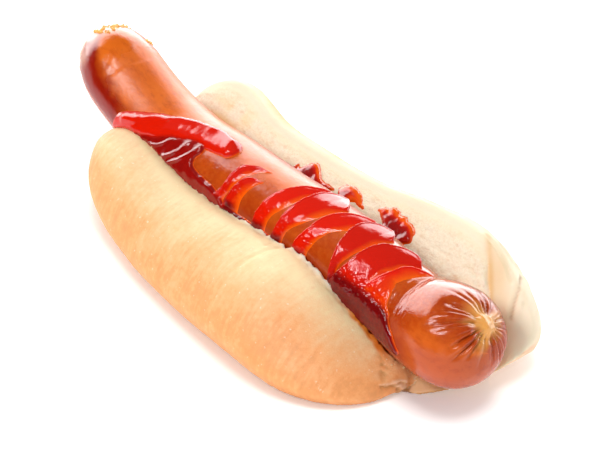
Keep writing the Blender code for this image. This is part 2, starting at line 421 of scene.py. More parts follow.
def flattened(points):
    """The points with a flat spot pressed by the fold near the far end."""
    off = points - sausage_points(*FLAT_SPOT_AT, skin_radius(*FLAT_SPOT_AT))
    level = off @ FLAT_SPOT_FACING
    beside = np.abs(off @ np.cross(FLAT_SPOT_FACING, [0, 0, 1])) / MM
    over = np.linalg.norm(off - level[:, None] * FLAT_SPOT_FACING, axis=1) / MM
    over = np.sqrt(np.maximum(over ** 2 - beside ** 2, 0))
    pressed = falling(beside, *FLAT_SPOT_EDGE) * falling(over, *FLAT_SPOT_EDGE)
    pressed = pressed * (np.abs(level) < MM)
    return points - (pressed * (level + FLAT_SPOT_DEPTH))[:, None] * FLAT_SPOT_FACING


def make_sausage():
    x = ring_places(SAUSAGE_FAR_TIP, SAUSAGE_NEAR_TIP, SAUSAGE_RINGS)
    angle = 2 * np.pi * np.arange(SAUSAGE_SIDES) / SAUSAGE_SIDES
    xx, aa = np.meshgrid(x, angle, indexing="ij")
    points = sausage_points(xx, aa, skin_radius(xx, aa)).reshape(-1, 3)
    poles, _ = sausage_axis(np.array([SAUSAGE_FAR_TIP, SAUSAGE_NEAR_TIP]))
    points = np.vstack([points, poles])
    faces = closed_grid_faces(SAUSAGE_RINGS, SAUSAGE_SIDES)
    piece = mesh_object("sausage_casing", points, faces)
    face_outward(piece)

    # The pucker that closes the near end, with spokes and hairlines out from its middle.
    x = points[:, 0] / MM
    offset, _ = off_axis(points)
    degrees = np.degrees(np.arctan2(offset[:, 1], offset[:, 2]))
    away, turn = pucker_reading(points)
    near = x > PUCKER_FROM
    warp = 0.55 * np.sin(3 * turn + 1) + 0.35 * np.sin(5 * turn + 2.3)
    spokes = 1 - np.abs(np.sin(6.5 * turn + 2.2 * warp))
    hairlines = 1 - np.abs(np.sin(14 * turn + 3 * warp))
    leftward = np.maximum(0, np.sin(turn))
    reach = 11.8 + 2.6 * np.sin(2 * turn + 0.6) + 2 * np.sin(7 * turn + 0.9) + 3.6 * leftward
    drop = SPOKE_DEPTH * spokes ** 2.2 + HAIRLINE_DEPTH * hairlines ** 2
    drop = drop * (1 + 0.4 * leftward) * between(away, 1.6, 3.6, 0.55 * reach, reach)
    drop = drop + DIMPLE_DEPTH * bell(away, 3.6, 1.6)
    lift = NUB_HEIGHT * bell(away, 0, 2.2) - drop
    lift = near * (lift + KNOT_HEIGHT * bumps(points, 0.0012, 21) * bell(away, 0, 3.6))

    # The rough far tip, the gathers behind the near end, and the skin's grain.
    rough = layered_bumps(points, 0.0022, 31, 2)
    lift = lift + FAR_TIP_ROUGHNESS * falling(x, -83.5, -77.5) * rough
    gathers = bumps(points, 0.0015, 39, (1, 0.25, 0.25))
    gathers = gathers + 0.6 * bumps(points, 0.0006, 40, (1, 0.35, 0.35))
    neck = bell(x, 60.5, 5.8) * between(degrees, -66, -50, 12, 40)
    lift = lift + NECK_GATHER_DEPTH * neck * gathers + SKIN_GRAIN * bumps(points, 0.0012, 37)
    points = flattened(points + normals_of(piece) * lift[:, None] * MM)
    set_points(piece, points)

    x = points[:, 0] / MM
    star = 5 + 1.4 * np.sin(3 * turn + 0.4) + 1.1 * np.sin(5 * turn + 2) + 2 * spokes
    edge = degrees + 10 * bumps(points, 0.005, 41) + 4 * bumps(points, 0.0016, 42)
    # Painted shade: a band down the left side of the far end, the left flank of the far half,
    # the lower left side all along, the right side where it lies against the open half, and the
    # lower left of the neck.
    patch = rising(-49 + 20 * falling(x, -79, -71.5) - edge, -13, 13)
    patch = patch * rising(degrees, -116, -98) * between(x, -83.5, -80.5, -62, -50)
    flank = 0.6 * bell(degrees, -84, 22) * falling(x, -50, -36)
    underneath = 0.55 * falling(degrees, -85, -55)
    seam = 0.6 * rising(degrees, 20, 34) * between(x, -20, 0, 48, 58)
    hollow = 0.45 * bell(x, 63.5, 5.5) * falling(degrees, -50, -28)
    matte = falling(x, -50, -36) * rising(degrees, -75, -45)
    matte = np.maximum(matte, 0.75 * rising(degrees, -38, -12))
    # Painted light: a lighter, warmer orange over the top and the right side short of the near
    # end; the far end is warmer all round, and the tone varies at random.
    warm = 0.85 * rising(degrees, -34, -4) * falling(x, 45, 60)
    warm = np.maximum(warm, falling(x, -55, -20))
    # Painted light from the floor on the lower left of the bulb.
    bulb = rising(x, 67, 73) * falling(degrees, -80, -45)
    paint(
        piece,
        tan=near * falling(away, 0.45 * star, 1.3 * star),
        deep=np.maximum.reduce([patch, flank, underneath, seam, hollow]),
        pale=falling(x, -83.2, -75.2) * (0.75 + 0.6 * bumps(points, 0.0035, 43)),
        matte=matte * between(x, -70.5, -64, 30, 52),
        warm=warm + 0.25 * bumps(points, 0.012, 47),
        bulb=bulb * (1 + 0.3 * bumps(points, 0.005, 48)),
    )
    return piece


# --- Bun surface ---

# An end has a tip, and for each side of the bread the length over which it draws in to the tip
# and the power of its curve. A half has two ends, its full size between them, how far it laps
# over the middle, its lip and slot floor in shares of its section, and lobes (middle, spread,
# wider, taller).
End = namedtuple("End", "tip_x tip_out tip_up outer inner top bottom")
Half = namedtuple("Half", "side far near width height bottom overlap lip slot_floor lobes")

STANDING_HALF = Half(
    side=-1,
    far=End(-0.0652, 0.014, 0.016, (0.05, 1.8), (0.02, 2.2), (0.02, 2.2), (0.03, 2)),
    near=End(0.0665, 0.008, 0.002, (0.036, 2.5), (0.014, 2.5), (0.04, 1.5), (0.03, 2)),
    width=0.038,
    height=0.0222,
    bottom=-0.003,
    overlap=0.003,
    lip=(0.38, 0.97),
    slot_floor=0.32,
    lobes=(
        (-0.0555, 0.022, 0, 0.0043),
        (-0.034, 0.022, -0.0024, 0),
        (0.03, 0.024, 0.002, 0.0038),
    ),
)
OPEN_HALF = Half(
    side=1,
    far=End(-0.068, 0.02, 0.012, (0.02, 2.4), (0.016, 2.2), (0.018, 2.2), (0.02, 2)),
    near=End(0.0836, 0.018, 0.011, (0.042, 2.6), (0.03, 1.8), (0.04, 2.2), (0.034, 1.8)),
    width=0.033,
    height=0.0245,
    bottom=-0.0036,
    overlap=0.014,
    lip=(0.785, 0.95),
    slot_floor=0.03,
    lobes=((-0.0505, 0.016, 0.0045, 0.003), (0.0475, 0.026, 0.0064, 0.0022)),
)

BUN_RINGS = 240
CUT_FACE_STEPS = 60
CRUST_STEPS = 130
UNDERSIDE_STEPS = 40
BUN_VOXEL = 0.00056
SAUSAGE_CLEARANCE = 0.0002


def sides_at(half, x):
    """The half's inner, outer, lower and upper limits at x."""
    width, height = half.width, half.height
    for middle, spread, wider, taller in half.lobes:
        width = width + wider * bell(x, middle, spread)
        height = height + taller * bell(x, middle, spread)
    limits = []
    for end in (half.far, half.near):
        sides = (
            (end.inner, end.tip_out, -half.overlap),
            (end.outer, end.tip_out, width),
            (end.bottom, end.tip_up, half.bottom),
            (end.top, end.tip_up, height),
        )
        limits.append([
            tip + (full - tip) * round_off(1 - np.abs(x - end.tip_x) / length, power)
            for (length, power), tip, full in sides
        ])
    at_far = np.abs(x - half.far.tip_x) < np.abs(x - half.near.tip_x)
    return [np.where(at_far, far, near)[:, None] for far, near in zip(*limits)]


def unit_outline(half):
    """The half's section in shares of its width and height, and how far round each point is:
    0 to 1 up the cut face, 1 to 2 over the crust, 2 to 3 along the underside."""
    lip_out, lip_up = half.lip
    crust = [
        (lip_out, lip_up),
        (lip_out + 0.25 * (1 - lip_out), 1),
        (lip_out + 0.7 * (1 - lip_out), 0.88),
        (1, 0.52),
        (0.97, 0.24),
        (0.84, 0),
    ]
    stretches = (
        ([(0, half.slot_floor), half.lip], CUT_FACE_STEPS),
        (crust, CRUST_STEPS),
        ([crust[-1], (0, 0)], UNDERSIDE_STEPS),
    )
    places = [smooth_curve(points, steps)[:-1] for points, steps in stretches]
    places.append(np.array([[0, 0]]))
    shares = [k + np.arange(steps) / steps for k, (_, steps) in enumerate(stretches)]
    return np.vstack(places), np.concatenate([*shares, [3]])


def half_grid(half):
    """Surface points of a half, ring by ring, with each point's share round its section."""
    x = ring_places(half.far.tip_x, half.near.tip_x, BUN_RINGS)
    inner, outer, low, high = sides_at(half, x)
    outline, shares = unit_outline(half)
    out = inner + outline[None, :, 0] * (outer - inner)
    up = low + outline[None, :, 1] * (high - low)
    points = np.stack([np.broadcast_to(x[:, None], out.shape), half.side * out, up], axis=-1)
    tips = [(end.tip_x, half.side * end.tip_out, end.tip_up) for end in (half.far, half.near)]
    points = np.vstack([points.reshape(-1, 3), tips])
    return points, np.concatenate([np.tile(shares, BUN_RINGS), [0.5, 0.5]])


def make_bun():
    grids = [half_grid(half) for half in (STANDING_HALF, OPEN_HALF)]
    points, shares = (np.concatenate(parts) for parts in zip(*grids))
    shift = len(points) // 2
    around = CUT_FACE_STEPS + CRUST_STEPS + UNDERSIDE_STEPS + 1
    faces = closed_grid_faces(BUN_RINGS, around)
    faces = faces + [tuple(i + shift for i in face) for face in faces]
    bun = mesh_object("bun_bread", points, faces)
    face_outward(bun)
    tree = kdtree.KDTree(len(points))
    for i, point in enumerate(points):
        tree.insert(point, i)
    tree.balance()
    voxel_remesh(bun, BUN_VOXEL)
    surface = points_of(bun)
    nearest = np.array([tree.find(Vector(p))[1] for p in surface])
    surface[:, 2] = np.maximum(surface[:, 2], 0)
    set_points(bun, kept_off_sausage(surface, SAUSAGE_CLEARANCE))
    set_values(bun, "share", shares[nearest])
    set_values(bun, "side", np.repeat([-1, 1], shift)[nearest])
    return bun


# --- Sauce ---

# Each fold of sauce has a raised far rim and a thin near edge, as (millimetres along, degrees
# round) on the sausage, with its height in millimetres and how much painted shade it gets.
SAUCE_FOLDS = (
    (((-14, -84), (-10, -58), (-9.5, -38), (-7, -18), (1, -6)),
     ((1, -6), (-3, -23), (-6, -42), (-9, -84)), 0.95, 0.3),
    (((-8, -80), (-5.5, -44), (-3, -30), (2, -24)),
     ((2, -24), (0, -38), (-1.5, -58), (-1.5, -80)), 0.75, 0.3),
    (((5.5, -84), (6, -56), (8, -28), (12.5, 2), (20.5, 34)),
     ((20.5, 34), (17, -3), (14, -35), (11, -58), (11, -84)), 1.15, 0.15),
    (((14, -84), (15, -46), (16.5, -20), (18.5, 13), (23, 33), (28, 14)),
     ((28, 14), (25, -15), (22, -38), (18.5, -60), (18, -84)), 1.3, 0.2),
    (((22, -84), (24, -48), (26.5, -12), (30, 10), (37.5, 32)),
     ((37.5, 32), (34, -8), (30, -34), (28, -60), (28, -84)), 1.3, 0.15),
    (((39, -88), (36.5, -52), (34.5, -10), (35.5, 14), (40.5, 33), (44, 22)),
     ((44, 22), (42, -9), (40.5, -35), (39, -60), (43, -88)), 1.6, 0.3),
    (((38, -84), (41.5, -44), (43, -10), (46.5, 12), (51.5, 24), (55.5, 17)),
     ((55.5, 17), (52, -12), (50.5, -40), (51, -84)), 1.9, 0.3),
    (((49, -50), (51, -26), (53.5, 4), (60, 25)),
     ((60, 25), (57, -2), (54.5, -34), (53, -62)), 0.65, 0.1),
)

# The first thick run of sauce: its middle line, half width and height. A crest runs along it,
# and drapes hang from it.
SAUCE_ROPE = (
    (-60, -88, 2.6, 1.2), (-54, -66, 3.7, 1.7), (-46, -45, 4.2, 1.9), (-37, -27, 4.2, 2),
    (-28, -15, 4, 2), (-21, -12, 3.8, 2.1), (-17, -11, 3.4, 2.2),
)
ROPE_CREST = ((-57, -66), (-50, -46), (-41, -25), (-32, -10), (-24, -4), (-17, -6))
ROPE_SHADE = 0.24
SAUCE_DRAPES = (
    ((-27, -14), (-28.9, -33), (-31.2, -53), (-36.6, -71), (-43, -80)),
    ((-23.5, -19), (-25.8, -41), (-29.3, -60), (-34.5, -76)),
    ((-34, -40), (-39, -58), (-46, -72)),
)

# Pools lie between the sausage and the bun: outline, height, edge width and how much painted
# shade they get.
# They are the pool under the rope, the gutter under the folds, the pool by the last fold and its
# film.
SAUCE_POOLS = (
    (((-56, -100), (-52, -66), (-42, -48), (-32, -27), (-25, -18), (-23.5, -36), (-24.5, -52),
      (-22, -62), (-14, -67), (-8, -78), (-8, -104)), 1.25, 1.1, 0.82),
    (((-12, -104), (-12, -80), (0, -78), (8, -77), (22, -80), (40, -82), (40, -104)),
     1.1, 1, 0.9),
    (((38, -104), (39, -84), (42, -66), (48, -56), (54, -58), (58, -62), (61.5, -70),
      (64.5, -82), (65, -104)), 1, 1.9, 0.95),
    (((40, -72), (43, -42), (49, -22), (54, -22), (56, -38), (57, -54), (59, -66)),
     0.5, 2.4, 0.2),
)
SAUCE_STEP = 0.00021
SAUCE_ALONG = (-0.06, 0.0675)
SAUCE_ROUND = (-103, 39)
SAUCE_FLOOR = -0.16
SAUCE_SINK = 0.0004
OUTER_SLOPE = 1.2
FOLD_RIM = 0.55
FULL_FOLD_WIDTH = 1.8
RIM_BEAD = 0.32
CREST_HEIGHT = 0.8
ROOM_WHERE_FREE = 9.0
ROOM_SLOPE = 1.1
RAY_REACH = 0.004


def on_skin(places):
    """Millimetres along and round an unrolled sausage, from (millimetres, degrees)."""
    places = np.asarray(places, float)
    return np.stack([places[:, 0], np.radians(places[:, 1]) * SAUSAGE_RADIUS / MM], axis=-1)


def skin_line(places, steps=40):
    return smooth_curve(on_skin(places), steps)


def fold_height(points, rim, near_edge, height):
    rim, near_edge = skin_line(rim), skin_line(near_edge)
    inside = inside_outline(points, np.vstack([rim, near_edge[1:-1]]))
    from_rim, from_edge = from_line(points, rim), from_line(points, near_edge)
    width = from_rim + from_edge
    across = from_rim / (width + 1e-9)
    fullness = np.clip(width / FULL_FOLD_WIDTH, 0, 1)
    body = height * fullness ** 0.7 * rounded_edge(from_rim, FOLD_RIM)
    body = body * (1 - across ** 1.6) ** 0.9 + RIM_BEAD * bell(from_rim, 0.38, 0.19) * fullness
    return np.where(inside, body, -OUTER_SLOPE * np.minimum(from_rim, from_edge))


def rope_height(points):
    """Height of the first thick run, with its crest."""
    rope = np.array(SAUCE_ROPE)
    sizes = smooth_curve(rope[:, 2:], 60)
    away, share = nearest_on_line(points, skin_line(rope[:, :2], 60))
    shares = np.linspace(0, 1, len(sizes))
    half, height = (np.interp(share, shares, column) for column in sizes.T)
    bead = height * np.sqrt(np.clip(1 - (away / half) ** 2, 0, 1))
    bead = np.where(away < half, bead, -OUTER_SLOPE * (away - half))
    from_crest = from_line(points, skin_line(ROPE_CREST))
    return bead + CREST_HEIGHT * np.clip(bead, 0, 1) * bell(from_crest, 0, 1.3)


def pool_height(points, outline, height, edge, steps=120, slope=OUTER_SLOPE):
    """Height of a pool, falling away outside it, and how far places are from its outline."""
    closed = smooth_curve(np.vstack([outline, outline[:1]]), steps)
    away = from_line(points, closed)
    inside = inside_outline(points, closed[:-1])
    return np.where(inside, height * rounded_edge(away, edge), -slope * away), away


def wobble(places, size, seed):
    """Smooth shifts in both directions of a flat map."""
    return np.stack([bumps(places, size, seed), bumps(places, size, seed + 1)], axis=-1)


def cell_corners(grid):
    return np.stack([grid[:-1, :-1], grid[1:, :-1], grid[1:, 1:], grid[:-1, 1:]], axis=-1)


def skin_patch(name, base, normals, heights, keep_above, sink):
    """A closed mesh on a grid of places: its top `heights` out from them and its bottom `sink`
    in, wherever a cell reaches above `keep_above`. Also returns each vertex's grid place."""
    kept = cell_corners(heights).max(axis=-1) > keep_above
    quads = cell_corners(np.arange(heights.size).reshape(heights.shape))[kept]
    used = np.unique(quads)
    count = len(used)
    new = np.full(heights.size, -1)
    new[used] = np.arange(count)
    top = new[quads]
    below = top[:, ::-1] + count
    ends = np.concatenate([top[:, [k, (k + 1) % 4]] for k in range(4)])
    keys = ends[:, 0] * (count + 1) + ends[:, 1]
    reverse = ends[:, 1] * (count + 1) + ends[:, 0]
    a, b = ends[~np.isin(keys, reverse)].T
    walls = np.stack([b, a, a + count, b + count], axis=-1)
    flat_base = base.reshape(-1, 3)[used]
    flat_normals = normals.reshape(-1, 3)[used]
    lifted = flat_normals * np.maximum(heights.ravel()[used], keep_above)[:, None]
    points = np.vstack([flat_base + lifted, flat_base - flat_normals * sink])
    piece = mesh_object(name, points, np.vstack([top, below, walls]).tolist())
    face_outward(piece)
    return piece, np.concatenate([used, used])


def room_to_bread(bun, base, normals):
    """How far out the bread's wall is from each place on the skin, in millimetres, and less
    close above it, so that the sauce rounds off where it meets the bread."""
    tree = surface_finder(bun)
    rows, columns = base.shape[:2]
    room = np.full((rows, columns), ROOM_WHERE_FREE)
    for i, j in itertools.product(range(rows), range(columns // 2)):
        start = Vector(base[i, j] - 0.0002 * normals[i, j])
        place, _, _, distance = tree.ray_cast(start, Vector(normals[i, j]), RAY_REACH)
        if place is not None:
            room[i, j] = distance / MM + 0.05
    for j in range(1, columns):
        room[:, j] = np.minimum(room[:, j], room[:, j - 1] + ROOM_SLOPE * SAUCE_STEP / MM)
    return room


def make_sauce(bun):
    along = np.arange(*SAUCE_ALONG, SAUCE_STEP)
    around = np.arange(*np.radians(SAUCE_ROUND), SAUCE_STEP / SAUSAGE_RADIUS)
    xx, aa = np.meshgrid(along, around, indexing="ij")
    base = sausage_points(xx, aa, skin_radius(xx, aa))
    normals = outward(xx, aa)
    flat = np.stack([xx.ravel() / MM, aa.ravel() * SAUSAGE_RADIUS / MM], axis=-1)
    flat3 = np.column_stack([flat, np.zeros(len(flat))])
    bent = flat + 0.35 * wobble(flat3, 5, 51) + 0.12 * wobble(flat3, 1.6, 53)

    layers = []
    for outline, tall, edge, shade in SAUCE_POOLS:
        pool, _ = pool_height(bent, on_skin(outline), tall, edge)
        layers.append((pool + 0.14 * tall * bumps(flat3, 3, 61) * (pool > 0), shade))
    for rim, near_edge, tall, shade in SAUCE_FOLDS:
        layers.append((fold_height(bent, rim, near_edge, tall), shade))
    height = np.full(len(flat), -5.0)
    dark = np.zeros(len(flat))
    for layer, shade in layers:
        dark = np.where(layer > height, shade, dark)
        height = np.maximum(height, layer)

    # Painted shade is held low on the folds, but kept full in the pools low down by the bread
    # and in the pool under the rope, which gets its own painted shade.
    degrees = np.degrees(bent[:, 1] * MM / SAUSAGE_RADIUS)
    in_pool = falling(degrees, -64, -50) * rising(bent[:, 0], 37, 41)
    in_gutter = falling(degrees, -74, -62) * rising(bent[:, 0], -16, -12)
    low_down = np.where(bent[:, 0] < -7, dark, np.maximum(in_pool, in_gutter))
    dark = np.maximum(np.minimum(dark, 0.45), low_down)
    rope = rope_height(bent)
    dark = np.where(rope > height, ROPE_SHADE, dark)
    height = np.maximum(height, rope)
    for drape in SAUCE_DRAPES:
        away = from_line(bent, skin_line(drape))
        uneven = 0.34 + 0.22 * bumps(flat3, 2.4, 62)
        height = height + uneven * bell(away, 0, 0.48) * (height > 0.3) * (rope < 0.2)

    sparkle = bell(np.degrees(aa.ravel()), -56, 12) * rising(flat[:, 0], -14, -6)
    sparkle = sparkle * (0.11 * bumps(flat3, 0.9, 71) + 0.15 * bumps(flat3, 0.5, 72))
    ripple = 0.05 * bumps(flat3, 2.6, 73) + 0.025 * bumps(flat3, 1.2, 74)
    height = height + rising(height, 0.05, 0.4) * (sparkle + ripple)
    height = np.minimum(height, room_to_bread(bun, base, normals).ravel())
    heights = (height * MM).reshape(xx.shape)
    lowest = SAUCE_FLOOR * MM
    piece, places = skin_patch("ketchup_sauce", base, normals, heights, lowest, SAUCE_SINK)
    dark = smoothed_grid(dark.reshape(xx.shape), 6).ravel()
    paint(piece, dark=dark[places], thick=height[places] / 2)
    return piece


# Smears on the cut face of the open half: outline in millimetres and height in millimetres.
SMEARS = (
    (((-15, 15.5), (-13.5, 19), (-11, 19), (-9, 21.5), (-6, 22), (-2, 19.6), (3.5, 19), (-3, 16),
      (-9, 14.6)), 1.3),
    (((4.5, 20), (7.5, 22), (11.5, 22), (15, 20.2), (16.2, 19), (11, 19), (9.5, 17), (7, 17.6)),
     0.9),
    (((20.5, 21), (24, 23), (30, 23.2), (34.5, 22), (36.4, 19.2), (34.5, 17.4), (30, 16.2),
      (26, 17), (24.6, 19)), 1.1),
)
SMEAR_STEP = 0.00026
SMEAR_LEAN = np.array(Vector((0.0, -0.55, 0.84)).normalized())
SMEAR_MARGIN = 1.5
SMEAR_EDGE = 1.7
SMEAR_SLOPE = 1.0
SMEAR_FLOOR = -0.25
SMEAR_SINK = 0.0008


def make_smears(bun):
    tree = surface_finder(bun)
    made = []
    for k, (outline, tall) in enumerate(SMEARS):
        outline = np.asarray(outline, float)
        low, high = outline.min(0) - SMEAR_MARGIN, outline.max(0) + SMEAR_MARGIN
        xs, ys = (np.arange(*ends, SMEAR_STEP / MM) for ends in zip(low, high))
        xx, yy = np.meshgrid(xs, ys, indexing="ij")
        flat = np.stack([xx.ravel(), yy.ravel()], axis=-1)
        flat3 = np.column_stack([flat, np.full(len(flat), 9.0 * k)])
        bent = flat + 0.5 * wobble(flat3, 1.7, 81) + 0.12 * wobble(flat3, 0.7, 83)
        height, away = pool_height(bent, outline, tall, SMEAR_EDGE, 90, SMEAR_SLOPE)
        height = height + rising(height, 0.1, 0.6) * 0.1 * bumps(flat3, 1.3, 85)
        base = [straight_below(tree, x, y, 0.06) or (x, y, 0.015) for x, y in flat * MM]
        base = smoothed_grid(np.array([p[:] for p in base]).reshape(*xx.shape, 3), 14)
        normals = np.broadcast_to(SMEAR_LEAN, base.shape)
        heights = (height * MM).reshape(xx.shape)
        name = f"ketchup_smear_{k + 1}"
        piece, places = skin_patch(name, base, normals, heights, SMEAR_FLOOR * MM, SMEAR_SINK)
        upper = rising(bent[:, 1], outline[:, 1].mean() - 1.5, outline[:, 1].max() - 1.2)
        thin = np.clip(1.35 - away / 1.8, 0, 1) * (0.2 + 0.8 * upper)
        thick = np.clip(height / 2, 0, 1) * (1 - 0.98 * thin)
        paint(piece, dark=(0.8 * (1 - thin))[places], thick=thick[places])
        made.append(piece)
    return made


# --- Crumbs ---

# The dried bits are scattered over the far tip, with three more beside it: x, degrees round
# and size.
FAR_BITS = 44
FAR_BITS_BESIDE = ((-0.0752, 46, 0.0006), (-0.0747, 52, 0.0004), (-0.0757, 40, 0.0005))
END_CRUMBS = 9
LIP_CRUMBS = 70
LIP_Y = -0.0122
LIP_LEAST_HEIGHT = 0.018


def nuggets(name, places, sizes, seed, flatness=0.7):
    """Small ragged lumps at the places, in one mesh."""
    draw = np.random.default_rng(seed)
    unit = bmesh.new()
    bmesh.ops.create_icosphere(unit, subdivisions=3, radius=1)
    ball = np.array([v.co[:] for v in unit.verts])
    faces = np.array([[v.index for v in f.verts] for f in unit.faces])
    unit.free()
    points, all_faces = [], []
    for k, (place, size) in enumerate(zip(places, sizes)):
        stretch = draw.uniform(0.6, 1.3, 3) * [1, 1, flatness]
        spin = draw.uniform(0, 2 * np.pi)
        shape = ball * (1 + 0.45 * bumps(ball + 5 * k, 0.8, seed)[:, None])
        shape = shape * (1 + 0.25 * bumps(ball + 9 * k, 0.35, seed + 1)[:, None]) * stretch
        x, y, z = shape.T
        x, y = x * np.cos(spin) - y * np.sin(spin), x * np.sin(spin) + y * np.cos(spin)
        points.append(np.stack([x, y, z], axis=-1) * size + place)
        all_faces.append(faces + len(ball) * k)
    return mesh_object(name, np.vstack(points), np.vstack(all_faces).tolist())


def make_far_bits():
    """Dried crust where the far end of the casing was torn."""
    draw = np.random.default_rng(5)
    limits = ((-0.085, -0.082), (-35, 60), (0.0002, 0.0008))
    x, degrees, sizes = (
        np.concatenate([draw.uniform(low, high, FAR_BITS), beside])
        for (low, high), beside in zip(limits, zip(*FAR_BITS_BESIDE))
    )
    angle = np.radians(degrees)
    places = sausage_points(x, angle, skin_radius(x, angle))
    return nuggets("casing_bits", places, sizes, 11, 0.8)


def make_crumbs(bun):
    """Crumbs by the torn near end, and along the lip of the standing half."""
    tree = surface_finder(bun)
    draw = np.random.default_rng(8)
    places, sizes = [], []
    for _ in range(END_CRUMBS):
        x, y = draw.uniform(0.06, 0.0662), draw.uniform(-0.0135, -0.005)
        place = straight_below(tree, x, y, 0.012)
        if place:
            places.append(place)
            sizes.append(draw.uniform(0.00012, 0.0003))
    for _ in range(LIP_CRUMBS):
        x = draw.uniform(-0.052, 0.056)
        y = LIP_Y + draw.uniform(-0.0006, 0.0008)
        place = straight_below(tree, x, y, 0.05)
        if place and place.z > LIP_LEAST_HEIGHT:
            places.append(place)
            sizes.append(draw.uniform(0.0002, 0.0004))
    return nuggets("bread_crumbs", np.array([p[:] for p in places]), sizes, 15)


# --- Bread ---

# Lines on the bread as seen from above, in millimetres: the soft fold across the crown of the
# standing half, the edges of the thin flaps where its near end was torn, and the crack and
# creases in the skin that closes the open half's near end, the creases with their depths.
CROWN_FOLD = np.array([[18.2, -33], [18.4, -26], [19.8, -19], [21.8, -10]])
TORN_FLAPS = (
    ((64.6, -17.4), (65.3, -14.2), (65.7, -11), (66.2, -9.2)),
    ((66, -13), (66.5, -10), (66.9, -8.3)),
)
CRACK = ((70, 28.5), (72.6, 25.3), (74.2, 22.2), (76.2, 18.8))
CREASES = (
    (((54, 31), (60, 29.4), (66, 27), (70, 25)), 0.4),
    (((58, 32.5), (64, 30.6), (70, 28.6), (75, 24)), 0.4),
    (((66, 31), (72, 28.5), (77, 23)), 0.3),
)

# A band of crust crosses the open half where its cut face ends, along x + slope * y.
BAND_SLOPE = 1.125
BAND_AT = (68.1, 18)

# How far things stand out from the bread or into it, in millimetres.
CRUST_WAVES = 0.3
CRUST_WRINKLES = 0.07
CRUST_GRAIN = 0.03
PORE_DEPTH = 1
SMALL_PORE_DEPTH = 0.5
CRUMB_GRAIN = 0.1
CROWN_FOLD_DEPTH = 0.6
CROWN_SWELL = 0.55
CROWN_DIP = 0.25
FLAP_LIFT = 0.4
CREVICE_DEPTH = 0.55
CRACK_DEPTH = 0.45
CRACK_BANK = 0.3
BAND_EDGE_DEPTH = 0.45
LIP_RAGGED_UP = 0.48
LIP_RAGGED_OUT = 0.6
BREAD_CLEARANCE = 0.00015


def past_line(x, y, line):
    """How far places are past a line that runs along Y."""
    return x - np.interp(y, line[:, 1], line[:, 0])


